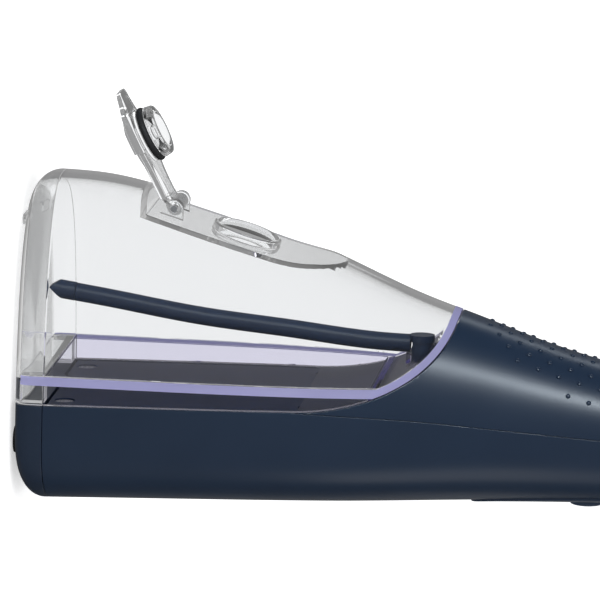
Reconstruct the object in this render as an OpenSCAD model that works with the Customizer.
// Cordless water flosser, standing on its base.
// Millimetres. +Z runs up the handle to the jet tip, the button face looks
// to -Y and the clear reservoir sits at the rear, +Y. The origin is the centre
// of the base footprint on the counter.

/* [Body] */
// Half width of the body and reservoir across X, at the base
body_half_w = 35.5; // [34.5:0.1:36.5]
// Half width of the handle just below the tip knob
handle_half_w = 18.3; // [17.8:0.1:19]
// Wall thickness of the navy housing
wall = 2.4; // [2.2:0.1:2.6]
// Height of the seam of the base cap and of the reservoir end cap
base_seam_z = 10.2; // [9.6:0.1:10.8]
// Height of the top of the handle
handle_top_z = 229; // [228.5:0.1:229.5]
// Lean of the front face, in mm of Y for each mm of height
front_lean = 0.0396; // [0.0386:0.0002:0.0406]

/* [Reservoir] */
// Wall thickness of the clear reservoir
tank_wall = 2.2; // [2:0.1:2.4]
// Y of the joint between reservoir and body, at the end caps
joint_y = -17.05; // [-17.25:0.05:-16.85]
// Underside of the reservoir floor plate
floor_y = -9.95; // [-10.2:0.05:-9.75]
// Thickness of the reservoir floor plate
floor_t = 2; // [1.8:0.1:2.4]
// Gap on each side of the joint between reservoir and body
joint_gap = 0.15; // [0.12:0.01:0.2]
// Radius of the fill port
port_r = 9; // [8.95:0.05:9.2]
// Diameter of the suction tube
tube_d = 5.7; // [5.5:0.05:5.75]

/* [Fill cap] */
// Length of the cap from its hinge axis to the finger end
cap_len = 39.8; // [39:0.1:40.5]
// Angle of the cap from closed, as drawn
cap_open = 134; // [0:1:134]
// Thickness of the cap plate
cap_t = 2.8; // [2.4:0.1:3]

/* [Drive] */
// Gear module
gear_m = 0.5; // [0.5:0.5:0.5]
// Teeth of the motor pinion
pinion_n = 14; // [14:1:14]
// Teeth of the crank gear
crank_n = 42; // [42:1:42]
// Radius of the piston
piston_r = 4; // [3.9:0.05:4]

/* [Jet tip] */
// Height of the end of the jet tip
tip_z = 295; // [290:1:298]
// Radius of the jet tip stem
stem_r = 3.5; // [3.4:0.05:3.5]

/* [Hidden] */

navy = [0.09, 0.13, 0.21];
button_navy = [0.13, 0.18, 0.27];
clear = [0.85, 0.88, 0.90, 0.35];
violet = [0.62, 0.58, 0.86, 0.5];
black = [0.06, 0.06, 0.06];
switch_black = [0.15, 0.15, 0.15];
socket_grey = [0.2, 0.22, 0.26];
steel = [0.72, 0.73, 0.75];
frame_grey = [0.75, 0.76, 0.78];
hose_grey = [0.8, 0.8, 0.8];
pump_grey = [0.8, 0.82, 0.84];
piston_grey = [0.85, 0.86, 0.88];
gear_white = [0.93, 0.93, 0.9];
tip_white = [0.93, 0.94, 0.95];
lens_white = [0.9, 0.95, 1];
pinion_gold = [0.85, 0.8, 0.5];
battery_green = [0.2, 0.45, 0.3];
board_green = [0.05, 0.35, 0.2];
ring_blue = [0.2, 0.55, 0.85];

eps = 0.05;
mid_y = -24.8;      // Y of the handle axis and of the widest line of the body
spigot_z = 124.6;   // height of the reservoir outlet
// Cutting shapes run out to these limits, clear of the product.
out_front = -80;
out_rear = 90;
out_top = 240;
out_half_x = 60;

// ---- shared shapes ---------------------------------------------------------
// A prism across X from points given as [z, y].
module across(points_zy)
  translate([-out_half_x, 0, 0]) rotate([90, 0, 90])
    linear_extrude(2 * out_half_x) polygon([for (p = points_zy) [p[1], p[0]]]);
module slab(z0, z1, y0, y1) across([[z0, y0], [z1, y0], [z1, y1], [z0, y1]]);

module along_x(x0, x1, radius)
  translate([x0, 0, 0]) rotate([0, 90, 0]) cylinder(h = x1 - x0, r = radius, $fn = 64);
module along_y(y0, y1, radius)
  translate([0, y0, 0]) rotate([-90, 0, 0]) cylinder(h = y1 - y0, r = radius, $fn = 48);
module post(z, height, radius, facets = 64)
  translate([0, 0, z]) cylinder(h = height, r = radius, $fn = facets);
module o_ring(radius, cord_r, facets = 64, cord_facets = 24)
  rotate_extrude($fn = facets) translate([radius, 0]) circle(r = cord_r, $fn = cord_facets);

// A round rod between two points, and one through a list of points.
module rod(start, end, radius) {
  span = end - start;
  length = norm(span);
  translate(start) rotate([0, acos(span[2] / length), atan2(span[1], span[0])])
    cylinder(h = length, r = radius, $fn = 32);
}
module pipe(points, radius) {
  for (i = [0 : len(points) - 2]) rod(points[i], points[i + 1], radius);
  for (i = [1 : 1 : len(points) - 2])
    translate(points[i]) sphere(r = radius * 1.03 + 0.02, $fn = 32);
}
// A hollow tube. The bore shares the middle points but has its own two ends.
module tube(middle, ends, bore_ends, radius, bore_r)
  difference() {
    pipe(concat([ends[0]], middle, [ends[1]]), radius);
    pipe(concat([bore_ends[0]], middle, [bore_ends[1]]), bore_r);
  }

module on_handle_axis() translate([0, mid_y, 0]) children();
module on_spigot_axis(y = 0) translate([0, y, spigot_z]) children();

// ---- body form -------------------------------------------------------------
// Rear ridge: [height, y]
REAR = [[0, 51.27], [10, 51.17], [25, 50.27], [38.4, 47.67], [55, 43.37], [70, 38.41],
  [85, 32.87], [101.5, 26.1], [123.3, 17.01], [142.6, 10.64], [161.7, 4.13],
  [180.7, -1.29], [195, -4.5], [210, -6.5], [232, -7.7]];
// Half width: [height, x]
WIDE = [[0, body_half_w], [40, body_half_w], [70, body_half_w - 0.3],
  [90, body_half_w - 1.3], [105, body_half_w - 2.9], [120, body_half_w - 5.5],
  [135, body_half_w - 8.7], [150, handle_half_w + 5.3], [165, handle_half_w + 2.9],
  [180, handle_half_w + 1.5], [195, handle_half_w + 0.7], [210, handle_half_w + 0.3],
  [232, handle_half_w - 0.1]];

// Smooth cubic through the stations of a table, held level past its ends.
function spline(table, z) =
  let (last = len(table) - 1,
       zc = max(table[0][0], min(table[last][0], z)),
       i = max([for (j = [0 : last - 1]) if (table[j][0] <= zc) j]),
       before = table[max(i - 1, 0)],
       low = table[i],
       high = table[i + 1],
       after = table[min(i + 2, last)],
       step = high[0] - low[0],
       u = (zc - low[0]) / step,
       low_rise = (high[1] - before[1]) / (high[0] - before[0]) * step,
       high_rise = (after[1] - low[1]) / (after[0] - low[0]) * step)
  (2 * u * u * u - 3 * u * u + 1) * low[1] + (u * u * u - 2 * u * u + u) * low_rise
  + (3 * u * u - 2 * u * u * u) * high[1] + (u * u * u - u * u) * high_rise;
function mix(from, to, share) = from + (to - from) * share;
function smooth(z0, z1, z) =
  let (share = max(0, min(1, (z - z0) / (z1 - z0)))) share * share * (3 - 2 * share);

// Edge rounding: how far the outline pulls in at a distance from an end.
function pull(distance, height, depth) =
  distance >= height ? 0
  : depth * (1 - sqrt(max(0, 1 - pow((height - distance) / height, 2))));
under_z = 1;     // underside of the body, above the counter
top_round = 4;
function ends(z, height, depth) =
  pull(z - under_z, height, depth) + pull(handle_top_z - z, top_round, top_round);

function rear(z) = spline(REAR, z) - ends(z, 8.5, 8.5);
function front(z) = -51.55 + front_lean * z - 0.0000275 * z * z + ends(z, 8, 12);
function half_width(z) = spline(WIDE, z) - ends(z, 5, 5);

// Powers of the superellipse outline, blended from body to handle.
function handle_share(z) = smooth(95, 165, z);
function rear_depth_power(z) = mix(2.3, 2.15, handle_share(z));
function rear_width_power(z) = mix(2.5, 2.15, handle_share(z));
function front_depth_power(z) = mix(3.0, 2.4, handle_share(z));
function front_width_power(z) = mix(2.8, 2.4, handle_share(z));

// Outline of the body at height z, pulled in by inset.
RING = 32;
function outline(z, inset) =
  [for (i = [0 : RING - 1])
    let (angle = 360 * (i + 0.5) / RING,
         across_part = cos(angle),
         depth_part = sin(angle),
         at_rear = depth_part >= 0,
         depth = at_rear ? rear(z) - mid_y : mid_y - front(z),
         width_power = at_rear ? rear_width_power(z) : front_width_power(z),
         depth_power = at_rear ? rear_depth_power(z) : front_depth_power(z))
    [(half_width(z) - inset) * sign(across_part) * pow(abs(across_part), 2 / width_power),
     mid_y + (depth - inset) * sign(depth_part) * pow(abs(depth_part), 2 / depth_power)]];
// Y of the rear surface at a given x.
function rear_y(x, z) =
  mid_y + (rear(z) - mid_y)
  * pow(1 - pow(abs(x) / half_width(z), rear_width_power(z)), 1 / rear_depth_power(z));

// Solid through the outlines at a list of heights.
module loft(heights, inset = 0) {
  count = len(heights);
  points = [for (z = heights) for (p = outline(z, inset)) [p[0], p[1], z]];
  sides = [for (j = [0 : count - 2]) for (i = [0 : RING - 1])
    let (here = j * RING + i, next = j * RING + (i + 1) % RING)
    [here, here + RING, next + RING, next]];
  bottom = [for (i = [0 : RING - 1]) i];
  top = [for (i = [RING - 1 : -1 : 0]) (count - 1) * RING + i];
  polyhedron(points = points, faces = concat(sides, [bottom], [top]), convexity = 6);
}

// Heights of the loft stations.
END_Z = [under_z, 1.5, 2.6, 4.4, 6.8, 9.5, 12];
END_INNER_Z = [3.2, 4, 5.4, 7.4, 9.6, 12];
BODY_Z = [26, 44, 60, 76, 90];
HANDLE_Z = [114, 124, 134, 144, 155, 167, 180, 195, 210];
TOP_EDGE_Z = [225, 226.2, 227.6, 228.6, handle_top_z];
REAR_START_Z = [84, 94, 104];
PANEL_Z = [150, 162, 175, 188, 201, 214];
TANK_Z = [24, 38, 50, 62, 74, 86, 98, 110, 120];
TANK_OUTER_Z = concat([9.5], TANK_Z, [130, 140]);

// ---- joint between reservoir and body --------------------------------------
// From the end caps the joint rises a little to cradle_z, then curves up as a
// quarter ellipse with half axes cradle_h (Z) and cradle_d (Y).
joint_rise = 1.5;
joint_high_y = joint_y + joint_rise;
cradle_z = 86.4;
cradle_y = 17.2;
cradle_h = 51.2;
cradle_d = cradle_y - joint_y - joint_rise;
cradle_top_z = cradle_z + cradle_h;
CRADLE_STEPS = 14;
FLOOR_STEPS = 12;
// Points [z, y]; offset > 0 moves the curve into the reservoir.
function cradle(offset, from = 0, to = 90, steps = CRADLE_STEPS) =
  [for (i = [0 : steps]) let (angle = from + (to - from) * i / steps)
    [cradle_z + (cradle_h - offset) * sin(angle), cradle_y - (cradle_d - offset) * cos(angle)]];
// Angle on the offset curve where it reaches a given y.
function cradle_at(offset, y) = acos((cradle_y - y) / (cradle_d - offset));

// Everything on the body's side of the joint.
module body_side(offset)
  across(concat([[0, joint_y + offset], [base_seam_z, joint_y + offset]], cradle(offset),
    [[cradle_top_z - offset, out_rear], [out_top, out_rear], [out_top, out_front],
     [0, out_front]]));

floor_top = floor_y + floor_t;
floor_offset = joint_gap + floor_t + 0.2;   // floor's inner face, from the joint
floor_angle = cradle_at(floor_offset, floor_top);

// ---- body shells -----------------------------------------------------------
// Line where the front and rear housings meet on the handle: [z, y]
PART_LINE = [[88, -15.65], [110, -16.6], [133.7, -18.3], [145.9, -19.6],
  [158.2, -20.8], [178, -22.4], [out_top, mid_y]];

// Housing screws: [z, y shift] of each pair
screw_x = 24;
SCREWS = [[15.5, 0.85], [92, 2.3]];
screw_seat_y = -19.3;
screw_well_r = 3.2;
module screw_sites()
  for (x = [-screw_x, screw_x]) for (place = SCREWS)
    translate([x, place[1], place[0]]) children();

// Base feet, with a screw behind each
foot_x = 20;
foot_y = -30;
foot_h = 2;
foot_r = 4.35;
foot_half_l = 5;
module foot_sites() for (side = [-1, 1]) translate([side * foot_x, foot_y, 0]) children();
module foot_form(height, grow = 0) {
  translate([-foot_half_l - grow, -foot_r - grow, -0.5])
    cube([2 * (foot_half_l + grow), 2 * (foot_r + grow), height + 0.5]);
  for (side = [-1, 1])
    translate([side * foot_half_l, 0, -0.5])
      cylinder(h = height + 0.5, r = foot_r + grow, $fn = 48);
}

// Front panel and what shows on the front face
panel_z0 = 142;
panel_z1 = 224;
panel_half_w = 11;
panel_round = 6;
panel_side_z = panel_z0 + 10;   // start of the panel's long straight sides
power_z = 197;
power_r = 6.4;
mode_z = 178;
mode_r = 5.4;
eject_z = 214.5;
eject_r = 3.6;
button_back_y = -39.15;
button_flange = 1.0;
led_z = 162;
led_pitch = 3;
charge_z = 120;
charge_r = 6.5;
contact_x = 3;
socket_r = 7;

// Outline of the front panel, as a block running forward from Y -20.
module panel_form(grow = 0) {
  inner_x = panel_half_w - panel_round;
  full_w = 2 * (panel_half_w + grow);
  translate([0, -20, 0]) rotate([90, 0, 0]) linear_extrude(60) {
    translate([-panel_half_w - grow, panel_side_z - grow])
      square([full_w, panel_z1 - panel_round - panel_side_z + 2 * grow]);
    translate([-inner_x - grow, panel_z0 - grow])
      square([2 * (inner_x + grow), panel_z1 - panel_z0 + 2 * grow]);
    for (side = [-1, 1]) for (z = [panel_z0 + panel_round, panel_z1 - panel_round])
      translate([side * inner_x, z]) circle(r = panel_round + grow, $fn = 48);
    translate([-panel_half_w - grow, panel_z0 + panel_round]) square([full_w, 10]);
  }
}
// Layer of the front face, from outward beyond the surface to inward below it.
module panel_band(outward, inward)
  difference() {
    loft(concat([138], PANEL_Z, [228]), -outward);
    loft(concat([134], PANEL_Z, [232]), inward);
  }

// Bore through the front face.
module front_bore(x, z, radius) translate([x, 0, z]) along_y(-60, -30, radius);
module button_holes()
  for (button = [[power_z, power_r], [mode_z, mode_r], [eject_z, eject_r]])
    front_bore(0, button[0], button[1] + 0.2);
module socket_seat() on_handle_axis() post(200, 40, socket_r + 0.2);

module front_housing()
  color(navy) difference() {
    union() {
      difference() {
        intersection() {
          loft(concat([4.4, 6.8, 9.5], BODY_Z, [102], HANDLE_Z, TOP_EDGE_Z));
          union() {
            across([[base_seam_z, out_front], [base_seam_z, joint_y],
              [cradle_z, joint_high_y], [88, joint_high_y], [88, out_front]]);
            across(concat([[87, out_front], [87, -15.7]],
              [for (p = PART_LINE) [p[0], p[1] - eps]], [[out_top, out_front]]));
          }
          body_side(-0.01);
        }
        loft(concat([6, 9], BODY_Z, [102], HANDLE_Z, [224]), wall);
      }
      // screw posts
      intersection() {
        screw_sites() along_y(-53, -22.8, 3.2);
        loft(concat([9.5], BODY_Z, [98]), 0.5);
      }
    }
    screw_sites() along_y(-40, -20, 1.3);
    button_holes();
    socket_seat();
    translate([0, 0, charge_z]) along_y(-60, -38, charge_r + 0.1);
    // pocket for the front panel
    intersection() {
      panel_form(0.15);
      panel_band(6, 0.9);
    }
    // charge lead slot behind the panel
    translate([-4, -50, 150]) cube([8, 20, 6]);
  }

module rear_housing()
  color(navy) difference() {
    union() {
      // rear half shell of the handle
      difference() {
        intersection() {
          loft(concat(REAR_START_Z, HANDLE_Z, TOP_EDGE_Z));
          body_side(-joint_gap);
          across(concat([for (p = PART_LINE) [p[0] + eps, p[1] + eps]],
            [[out_top + eps, out_rear], [88 + eps, out_rear]]));
        }
        intersection() {
          loft(concat(REAR_START_Z, HANDLE_Z, [224]), wall);
          body_side(-joint_gap - wall);
        }
      }
      // deck under the reservoir, inset in the front housing's rim
      intersection() {
        loft(concat([9.5], BODY_Z, [102, 114]), wall + 0.25);
        across(concat(
          [[base_seam_z + 0.2, joint_y - joint_gap - wall],
           [base_seam_z + 0.2, joint_y - joint_gap - eps]],
          cradle(-joint_gap - eps, 0, 22, 4),
          [[103, -17.4], [cradle_z, joint_high_y - joint_gap - wall]]));
      }
    }
    // reservoir spigot hole
    on_spigot_axis() along_y(-16, 4, 4.2);
    screw_sites() along_y(-26, -10, 1.75);
    screw_sites() along_y(screw_seat_y, -10, screw_well_r);
    socket_seat();
  }

// Moulded grip nubs on the rear of the handle, in columns: [x, lowest z]
NUB_COLUMNS = [[0, 149.5], [3.7, 146.3], [7.4, 149.5], [11, 152.8], [14, 156], [17, 172.3]];
nub_pitch = 6.5;
nub_top_z = 216;
nub_r = 1.0;
nub_out = -0.55;   // nub centre from the surface, along its normal
slope_dx = 0.4;    // half step for the surface slope
module grip_nubs()
  color(navy) for (column = NUB_COLUMNS) for (side = column[0] == 0 ? [1] : [-1, 1])
    for (z = [column[1] : nub_pitch : nub_top_z])
      let (x = column[0])
        if (x < half_width(z) - 2.2)
          let (rise = rear_y(x + slope_dx, z) - rear_y(x - slope_dx, z),
               tilt = atan2(-rise, 2 * slope_dx))
            translate([side * (x + nub_out * sin(tilt)),
                rear_y(x, z) + nub_out * cos(tilt), z])
              sphere(r = nub_r, $fn = 20);

module base_cap()
  color(navy) difference() {
    intersection() {
      loft(END_Z);
      slab(0, base_seam_z - eps, out_front, joint_y - joint_gap);
    }
    intersection() {
      loft([3.4, 5, 7, 9.5, 12], wall);
      slab(3.4, 12, out_front, joint_y - joint_gap - wall);
    }
    foot_sites() foot_form(foot_h + 0.1, 0.1);
    foot_sites() cylinder(h = 6, r = 1.4, $fn = 32);
    foot_sites() post(2.05, 0.8, 2.6, 32);
  }

module base_feet()
  color(black) foot_sites() difference() {
    foot_form(foot_h);
    translate([-20, -20, -5]) cube([40, 40, 5]);
  }

module front_panel()
  color(navy) difference() {
    intersection() {
      panel_form();
      panel_band(0.6, 0.8);
    }
    button_holes();
    for (i = [-1 : 1]) front_bore(i * led_pitch, led_z, 0.8);
  }

module charge_port()
  color(black) difference() {
    translate([0, 0, charge_z]) along_y(-47.7, -41.7, charge_r);
    for (side = [-1, 1]) front_bore(side * contact_x, charge_z, 1.3);
  }
module charge_contacts()
  color(steel) for (side = [-1, 1])
    translate([side * contact_x, 0, charge_z]) along_y(-47.4, -40.7, 1.25);

module led_lenses()
  color(lens_white) for (i = [-1 : 1])
    translate([i * led_pitch, 0, led_z]) along_y(-46.4, -45.2, 0.75);

// ---- chassis, battery and electronics --------------------------------------
motor_z = 58;
motor_r = 10;
drive_y = -32;                 // Y of the motor, gear and pump axes
crank_z = motor_z + gear_m * (pinion_n + crank_n) / 2;
axle_x0 = -6;
axle_r = 1.5;
pump_x = 9;
pump_r = 6.5;
saddle_z = motor_z - 13;

module on_motor_axis() translate([0, drive_y, motor_z]) children();
module on_crank_axis() translate([0, drive_y, crank_z]) children();
module on_pump_axis() translate([pump_x, drive_y, 0]) children();

module chassis()
  color(frame_grey) difference() {
    union() {
      translate([-27, -24.8, 20]) cube([34.5, 2.2, 86]);
      // motor saddles
      translate([-22, -41, saddle_z]) cube([3, 17, 26]);
      translate([-4, -44, saddle_z]) cube([3, 20, 39.5]);
      // pump bracket
      translate([-4, -40, 96]) cube([4, 17, 10]);
    }
    on_motor_axis() along_x(-40, 1.6, motor_r + 0.15);
    on_crank_axis() along_x(axle_x0, 1, axle_r);
    on_pump_axis() post(90, 40, pump_r + 0.2);
    // room for the crank gear
    on_crank_axis() along_x(1.6, 9, 12);
    screw_sites() along_y(-50, -10, 4);
  }

battery_r = 9.1;
module on_battery_axis() translate([20.5, -33.1, 0]) children();
module battery()
  color(battery_green) on_battery_axis() {
    post(20.5, 65, battery_r);
    post(20.5, 66.2, 3, 48);
  }
// Cup with an open front and a window in its rear.
module battery_holder()
  color(frame_grey) difference() {
    on_battery_axis() post(19, 62, 10.2);
    on_battery_axis() post(20.4, 80, battery_r + 0.1);
    translate([-20, -80, 20.4]) cube([80, 44.5, 80]);
    translate([9, -36, 30]) cube([20, 16, 36]);
  }

pcb_y = -36.5;
switch_w = 6;
switch_t = 1.3;
module main_pcb()
  color(board_green) translate([-10, pcb_y, 150]) cube([20, 1.6, 57]);
module tact_switches()
  color(switch_black) for (z = [power_z, mode_z]) {
    translate([-switch_w / 2, pcb_y - switch_t, z - switch_w / 2])
      cube([switch_w, switch_t, switch_w]);
    translate([0, 0, z]) along_y(-38.3, -37.7, 1.6);
  }
// Silicone key mat behind the panel, with an opening for each of two buttons.
module button_seal()
  color(black) difference() {
    translate([-8.6, -38.25, 168]) cube([17.2, 0.7, 37.5]);
    front_bore(0, power_z, power_r - 1.2);
    front_bore(0, mode_z, mode_r - 1.0);
  }

// Button cap with a flange and a thin disc at its back.
module button(z, radius, face_y)
  color(button_navy) translate([0, 0, z]) {
    along_y(face_y, button_back_y, radius);
    along_y(-40.1, button_back_y, radius + button_flange);
    along_y(-39.2, -39.1, 2);
  }
module power_button() button(power_z, power_r, -46.5);
module mode_button() button(mode_z, mode_r, -47.1);
module eject_button()
  color(button_navy) translate([0, 0, eject_z]) {
    along_y(-46.1, -37, eject_r);
    along_y(-37.9, -37, eject_r + button_flange);
  }

// ---- motor, gears and pump -------------------------------------------------
gear_x0 = 2.6;
gear_w = 4.6;
gear_x1 = gear_x0 + gear_w;
shaft_r = 1.0;
crank_throw = 3;
// Corners of one tooth: [share of the pitch before narrowing, height in modules]
TOOTH = [[-0.36, -1.15], [-0.17, 0.85], [0.17, 0.85], [0.36, -1.15]];
tooth_narrowing = 0.88;

// Spur gear with straight-sided teeth.
module gear(teeth, width)
  linear_extrude(width) polygon([for (i = [0 : teeth - 1]) for (corner = TOOTH)
    let (angle = 360 * (i + corner[0] * tooth_narrowing) / teeth,
         radius = gear_m * teeth / 2 + corner[1] * gear_m)
    [radius * cos(angle), radius * sin(angle)]]);

module motor()
  color(steel) on_motor_axis() difference() {
    union() {
      along_x(-23.5, 0.9, motor_r);
      along_x(-24.5, 1.6, 3);
    }
    along_x(-28, 12, shaft_r + 0.05);
  }
// Pinion with the motor shaft, turned half a tooth to mesh.
module motor_pinion()
  color(pinion_gold) on_motor_axis() {
    along_x(-24, gear_x1, shaft_r);
    translate([gear_x0, 0, 0]) rotate([0, 90, 0]) rotate([0, 0, 180 / pinion_n])
      gear(pinion_n, gear_w);
  }
module gear_axle()
  color(steel) on_crank_axis() along_x(axle_x0, gear_x1 - 0.6, axle_r);
module crank_gear()
  color(gear_white) on_crank_axis() {
    difference() {
      translate([gear_x0, 0, 0]) rotate([0, 90, 0]) gear(crank_n, gear_w - 0.2);
      along_x(axle_x0, gear_x1 - 0.4, axle_r + 0.05);
    }
    // crank pin
    translate([0, 0, crank_throw]) along_x(gear_x1 - 0.3, 10.1, 1.0);
  }

piston_groove_z = 98;
module piston()
  color(piston_grey) {
    // yoke round the crank pin
    translate([0, drive_y, 0]) difference() {
      translate([8.1, -8, crank_z - 8]) cube([1.7, 16, 16.5]);
      translate([7.5, -6.5, crank_z - 6.4]) cube([3, 13, 12.8]);
    }
    on_pump_axis() post(crank_z + 8.3, 12, 0.8, 32);
    on_pump_axis() difference() {
      post(92, 12, piston_r);
      // seal groove
      translate([0, 0, piston_groove_z]) difference() {
        cylinder(h = 2, r = 5, $fn = 64);
        cylinder(h = 2, r = piston_r - 1.4, $fn = 64);
      }
    }
  }
module piston_seal()
  color(black) on_pump_axis() difference() {
    post(piston_groove_z + 0.1, 1.8, piston_r + 0.02);
    post(piston_groove_z - 0.9, 4, piston_r - 1.35);
  }

inlet_z = 113;
pump_port_r = 3.4;
valve_r = 2.25;
valve_hole_r = 1.2;
pump_bore_r = valve_r + 0.05;
module on_inlet_axis() translate([pump_x, 0, inlet_z]) children();
module pump_cylinder()
  color(pump_grey) difference() {
    union() {
      on_pump_axis() post(89, 29, pump_r);
      on_inlet_axis() along_y(-30, -23.5, pump_port_r);
      on_pump_axis() post(117.5, 6.5, pump_port_r, 48);
    }
    on_pump_axis() post(88, 27, piston_r + 0.06);
    on_inlet_axis() along_y(-31, -20, pump_bore_r);
    on_pump_axis() post(110, 20, pump_bore_r, 48);
  }
module inlet_valve()
  color(black) on_inlet_axis() difference() {
    along_y(-28.6, -26.4, valve_r);
    along_y(-30, -27.2, valve_hole_r);
  }
module outlet_valve()
  color(black) on_pump_axis() difference() {
    post(118.4, 2.4, valve_r, 48);
    post(117.4, 2.4, valve_hole_r, 48);
  }

module inlet_hose()
  color(hose_grey) tube(
    middle = [[pump_x, -20.9, inlet_z], [7.6, -20.9, 118], [4, -26.6, 120.8],
      [0, -26.4, spigot_z - 0.4]],
    ends = [[pump_x, -25.2, inlet_z], [0, -22.5, spigot_z]],
    bore_ends = [[pump_x, -25.6, inlet_z], [0, -22.0, spigot_z]],
    radius = 1.8, bore_r = 1.0);
module outlet_tube()
  color(hose_grey) tube(
    middle = [[pump_x, drive_y, 128], [6, -30, 138], [1, -26.5, 148], [0, mid_y, 156]],
    ends = [[pump_x, drive_y, 121.2], [0, mid_y, 209.8]],
    bore_ends = [[pump_x, drive_y, 121.0], [0, mid_y, 210.2]],
    radius = 2.2, bore_r = 1.3);

// ---- tip socket, knob and jet tip ------------------------------------------
sleeve_r = 5.0;   // lower sleeve of the knob, inside collar and socket
sleeve_bore_r = sleeve_r + 0.05;

module top_collar()
  color(steel) on_handle_axis() difference() {
    post(handle_top_z + 0.02, 1.7, 13.4, 96);
    post(220, 20, sleeve_bore_r);
  }
module tip_socket()
  color(pump_grey) on_handle_axis() difference() {
    union() {
      post(210, handle_top_z - 210, socket_r);
      post(207.5, 3, 4.2);
    }
    post(214, 40, sleeve_bore_r);
    post(211, 4, 3.9);
    post(200, 12, 2.25, 48);
  }
module socket_o_ring()
  color(black) translate([0, mid_y, 212.4]) o_ring(2.95, 0.85);

// Knob profile: [radius, height above knob_z]
KNOB = [[0, 0], [12.2, 0], [12.9, 0.7], [12.9, 4.6], [12.3, 6.6], [10.8, 8.2], [8, 9], [0, 9]];
knob_z = 231;
knob_grooves = 24;
module tip_knob()
  color(navy) on_handle_axis() difference() {
    union() {
      post(214.3, 18, sleeve_r);
      translate([0, 0, knob_z]) rotate_extrude($fn = 96) polygon(KNOB);
    }
    post(200, 60, stem_r + 0.05);
    for (i = [0 : knob_grooves - 1])
      rotate([0, 0, i * 360 / knob_grooves]) translate([13.3, 0, knob_z + 0.8])
        cylinder(h = 4, r = 0.75, $fn = 24);
  }

// The tip bends forward twice: at the neck, then at the end of the elbow.
neck_z = 279;
neck_r = 2.2;
cone_z = 243.5;
nozzle_angle = 62;   // from vertical
second_bend = 30;
elbow_angle = nozzle_angle - second_bend;
elbow_l = 9;
elbow_end_r = 2.0;
nozzle_end_r = 1.2;
nozzle_l = (tip_z - neck_z - elbow_l * cos(elbow_angle) - nozzle_end_r * sin(nozzle_angle))
  / cos(nozzle_angle);
module on_elbow() translate([0, 0, neck_z]) rotate([elbow_angle, 0, 0]) children();
module on_nozzle()
  on_elbow() translate([0, 0, elbow_l]) rotate([second_bend, 0, 0]) children();
module jet_tip()
  color(tip_white) on_handle_axis() difference() {
    union() {
      post(215, 29, stem_r);
      post(240.6, 1.6, 6.2);
      translate([0, 0, cone_z])
        cylinder(h = neck_z - cone_z, r1 = stem_r - 0.1, r2 = neck_r, $fn = 64);
      translate([0, 0, neck_z]) sphere(r = neck_r + 0.12, $fn = 48);
      on_elbow() cylinder(h = elbow_l, r1 = neck_r, r2 = elbow_end_r, $fn = 48);
      on_elbow() translate([0, 0, elbow_l]) sphere(r = elbow_end_r + 0.12, $fn = 48);
      on_nozzle() cylinder(h = nozzle_l, r1 = elbow_end_r, r2 = nozzle_end_r, $fn = 48);
    }
    post(200, neck_z - 200.4, 0.9, 32);
    on_elbow() post(-0.5, elbow_l + 0.4, 0.7, 32);
    on_nozzle() post(-0.4, 30, 0.45, 24);
  }
module tip_ring()
  color(ring_blue) on_handle_axis() difference() {
    post(242.25, 2.2, 5);
    post(241.25, 5, stem_r + 0.02);
  }

// ---- reservoir socket and screws -------------------------------------------
module reservoir_socket()
  color(socket_grey) on_spigot_axis() difference() {
    along_y(-22.3, -12.2, 5.8);
    along_y(-19.5, -8, 4.4);
    along_y(-28, -18, 1.6);
  }
module socket_seal()
  color(black) on_spigot_axis(-18.7) rotate([90, 0, 0]) o_ring(3.0, 0.7);

module housing_screws()
  color(steel) screw_sites() {
    along_y(-36, screw_seat_y + 0.05, 1.25);
    along_y(screw_seat_y, -18.4, 2.9);
  }
module base_screws()
  color(steel) foot_sites() {
    post(foot_h + 0.1, 0.7, 2.5, 32);
    post(foot_h + 0.1, 9, 1.3, 32);
  }

// ---- reservoir -------------------------------------------------------------
// Recessed facet that carries the fill port; above bend_z it is steeper.
facet_z = 68.4;
facet_y = 33.05;
facet_slope = -0.2946;
upper_slope = -0.0998;
facet_angle = atan(facet_slope);
step_z = 39.1;
bend_z = 84.2;
facet_top_z = 125;
rim_h = 2.2;
function facet_at(z, inset) =
  (z < bend_z
    ? facet_y + facet_slope * (z - facet_z)
    : facet_y + facet_slope * (bend_z - facet_z) + upper_slope * (z - bend_z)) - inset;

// The body form with the facet cut away, pulled in by inset.
module tank(heights, inset = 0) {
  low_z = step_z - inset * 0.95;
  difference() {
    loft(heights, inset);
    across([[low_z, facet_at(low_z, inset)], [bend_z, facet_at(bend_z, inset)],
      [facet_top_z, facet_at(facet_top_z, inset)], [facet_top_z, out_rear],
      [low_z - 6, out_rear]]);
  }
}

hinge_z = 46.6;
hinge_y = 42.3;
pin_r = 1.0;
ear_w = 2.8;
ear_r = 2.7;
ear_x = 7.6;
ear_l = 4.2;
module on_port() translate([0, facet_y, facet_z]) rotate([-90 - facet_angle, 0, 0]) children();
module on_hinge() translate([0, hinge_y, hinge_z]) children();
module ear() {
  on_hinge() along_x(0, ear_w, ear_r);
  on_hinge() rotate([-facet_angle, 0, 0])
    translate([0, -ear_l, -ear_r]) cube([ear_w, ear_l, 2 * ear_r]);
}

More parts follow.
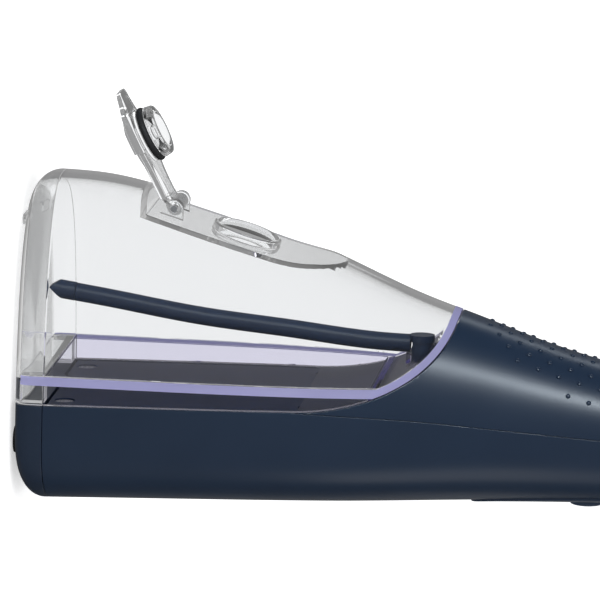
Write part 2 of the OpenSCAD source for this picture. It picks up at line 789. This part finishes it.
module reservoir_shell() {
  shell_offset = floor_offset + eps;
  throat = tank_wall + 1.6;
  color(clear) difference() {
    union() {
      difference() {
        intersection() {
          tank(TANK_OUTER_Z);
          across(concat([[base_seam_z, floor_top + eps]],
            cradle(shell_offset, floor_angle, 90, FLOOR_STEPS),
            [[cradle_top_z - shell_offset, out_rear], [base_seam_z, out_rear]]));
        }
        intersection() {
          tank(concat([8], TANK_Z, [130, 136]), tank_wall);
          across(concat([[0, floor_top - 1]],
            cradle(floor_offset - 0.5, floor_angle, 90, FLOOR_STEPS),
            [[cradle_top_z, out_rear], [0, out_rear]]));
        }
      }
      // fill port: raised rim and a short throat
      on_port() post(-throat, throat + rim_h, 11, 96);
      // hinge ears
      for (side = [-1, 1]) translate([side * ear_x - ear_w / 2, 0, 0]) ear();
    }
    on_port() post(-8, 16, port_r, 96);
    on_port() translate([0, 0, rim_h - 0.7])
      cylinder(h = 1.0, r1 = port_r, r2 = port_r + 0.9, $fn = 96);
    on_hinge() along_x(-12, 12, pin_r + 0.04);
  }
}

module reservoir_end_cap() {
  cap_y = joint_y + joint_gap;
  cap_top_z = base_seam_z - eps;
  color(clear) {
    difference() {
      intersection() {
        loft(END_Z);
        slab(0, cap_top_z, cap_y, out_rear);
      }
      // hollows behind and in front of the floor plate
      for (span = [[floor_top, out_rear], [-30, floor_y]])
        intersection() {
          loft(END_INNER_Z, tank_wall);
          slab(3.2, 12, span[0], span[1]);
        }
    }
    // small rear bumps that share the rest plane with the front feet
    for (side = [-1, 1]) translate([side * 12, 38, 0]) {
      translate([-3, -1.7, 0]) cube([6, 3.4, 2.5]);
      for (end = [-1, 1]) translate([end * 3, 0, 0]) cylinder(h = 2.5, r = 1.7, $fn = 32);
    }
    // clip boxes
    for (side = [-1, 1])
      translate([side * 28.5 - 3, cap_y, 3]) cube([6, floor_y - cap_y, cap_top_z - 3]);
  }
}

module reservoir_base()
  color(violet) difference() {
    union() {
      difference() {
        intersection() {
          loft(TANK_OUTER_Z);
          across(concat([[base_seam_z, joint_y + joint_gap]], cradle(joint_gap),
            [[cradle_top_z - floor_offset, cradle_y]],
            cradle(floor_offset, 90, floor_angle, FLOOR_STEPS),
            [[base_seam_z, floor_top]]));
        }
        intersection() {
          loft(concat([8], TANK_Z), tank_wall);
          slab(0, 111, joint_y - 1, floor_y);
        }
      }
      // boss for the outlet spigot
      intersection() {
        on_spigot_axis() along_y(-10, -1.7, 5.0);
        across(concat([[100, joint_high_y]],
          [for (p = cradle(joint_gap + 0.3)) if (p[0] > 103) p],
          [[cradle_top_z - 2, 20], [100, 20]]));
      }
    }
    on_spigot_axis() along_y(-20, 10, 3.45);
  }

tube_top_y = 1.35;
spigot_r = 3.4;
spigot_head_r = 3.9;
spigot_ring_y = -12.4;

module suction_tube()
  color(navy) difference() {
    tube(
      middle = [[0, 11.1, 26], [0, 6.9, 54.3], [0, 4.1, 84], [0, 1.55, 112]],
      ends = [[0, 12.65, 14.9], [0, tube_top_y, spigot_z - 3.5]],
      bore_ends = [[0, 13.2, 11], [0, tube_top_y, spigot_z]],
      radius = tube_d / 2, bore_r = tube_d / 2 - 0.9);
    on_spigot_axis() along_y(-10, 10, spigot_head_r + 0.05);
  }
// Pointed inlet foot that takes in water near the end wall.
module tube_inlet()
  color(navy) difference() {
    rod([0, 13.8, 6.6], [0, 12.71, 14.8], 2.95);
    rod([0, 13.5, 9], [0, 12.6, 15.6], 1.9);
    across([[6.7, 14.2], [12.6, 18], [4, 18], [4, 14.2]]);
    across([[6.7, 14.2], [4, 14.2], [4, 8.2], [12.4, 8.2]]);
  }
module outlet_spigot()
  color(navy) on_spigot_axis() difference() {
    union() {
      along_y(-17.2, 4.2, spigot_r);
      along_y(2.05, 4.2, spigot_head_r);
    }
    along_y(-25, 2.2, 1.7);
    // opening down into the suction tube
    translate([0, tube_top_y, -8]) cylinder(h = 8, r = 1.75, $fn = 32);
    // O-ring groove
    translate([0, spigot_ring_y, 0]) rotate([90, 0, 0]) rotate_extrude($fn = 64)
      translate([3.5, 0]) square([1.8, 1.6], center = true);
  }
module spigot_o_ring()
  color(black) on_spigot_axis(spigot_ring_y) rotate([90, 0, 0]) o_ring(3.42, 0.75);

// ---- fill cap --------------------------------------------------------------
// The cap is drawn closed with the hinge axis at the origin, then swung open.
// Local +X runs to the port, +Z away from the facet, Y across.
plug_x = 23.53;
plate_z = -2.71 + rim_h + 0.5;   // inner face of the plate, just above the rim
plug_r = 8.45;
disc_r = 10.9;
knuckle_half_w = 5.8;
cap_ring_z = plate_z - 2.0;
// One side of the plate's outline: [x, half width]
CAP_SIDE = [[9, knuckle_half_w], [15.6, 8.6], [plug_x, disc_r], [plug_x + 4, 10.2],
  [cap_len - 4.6, 5.2], [cap_len, 5.0]];

module swung()
  on_hinge() rotate([-cap_open, 0, 0]) rotate([-90 - facet_angle, 0, 0])
    rotate([0, 0, -90]) children();
module on_plug() translate([plug_x, 0, 0]) children();

module cap_hinge_pin() color(steel) on_hinge() along_x(-9, 9, pin_r);
module fill_cap()
  color(clear) swung() difference() {
    union() {
      translate([3.0, -knuckle_half_w, plate_z]) cube([10, 2 * knuckle_half_w, cap_t]);
      translate([0, 0, plate_z]) linear_extrude(cap_t)
        polygon(concat([for (p = CAP_SIDE) [p[0], -p[1]]],
          [for (i = [len(CAP_SIDE) - 1 : -1 : 0]) CAP_SIDE[i]]));
      on_plug() post(plate_z, cap_t, disc_r, 96);
      // knuckle
      rotate([90, 0, 0]) post(-knuckle_half_w, 2 * knuckle_half_w, 2.5);
      translate([0, -knuckle_half_w, -0.1]) cube([4, 2 * knuckle_half_w, 2.5]);
      // plug, tapered at its end
      on_plug() post(plate_z - 3.4, 3.5, plug_r, 96);
      on_plug() translate([0, 0, plate_z - 6.2])
        cylinder(h = 2.8, r1 = 8.0, r2 = plug_r, $fn = 96);
      // two stiffening ribs on the outside
      for (side = [-1, 1])
        translate([3, side * 4.6 - 0.5, plate_z + cap_t - 0.2]) cube([17.6, 1.0, 0.9]);
    }
    rotate([90, 0, 0]) post(-10, 20, pin_r + 0.05, 48);
    // O-ring groove and hollow of the plug
    on_plug() translate([0, 0, cap_ring_z]) rotate_extrude($fn = 96)
      translate([8.2, 0]) square([3.0, 2.2], center = true);
    on_plug() post(plate_z - 7, 5.2, 5.4, 96);
  }
module cap_o_ring()
  color(black) swung() translate([plug_x, 0, cap_ring_z]) o_ring(7.85, 0.95, 96, 32);

// ---- the assembly ----------------------------------------------------------
front_housing();
rear_housing();
grip_nubs();
base_cap();
base_feet();
front_panel();
charge_port();
charge_contacts();
led_lenses();
top_collar();
chassis();
battery();
battery_holder();
main_pcb();
tact_switches();
button_seal();
motor();
gear_axle();
pump_cylinder();
inlet_valve();
outlet_valve();
inlet_hose();
outlet_tube();
tip_socket();
socket_o_ring();
reservoir_socket();
socket_seal();
housing_screws();
base_screws();
reservoir_shell();
reservoir_end_cap();
reservoir_base();
suction_tube();
tube_inlet();
outlet_spigot();
spigot_o_ring();
cap_hinge_pin();
fill_cap();
cap_o_ring();
power_button();
mode_button();
eject_button();
tip_knob();
jet_tip();
tip_ring();
motor_pinion();
crank_gear();
piston();
piston_seal();
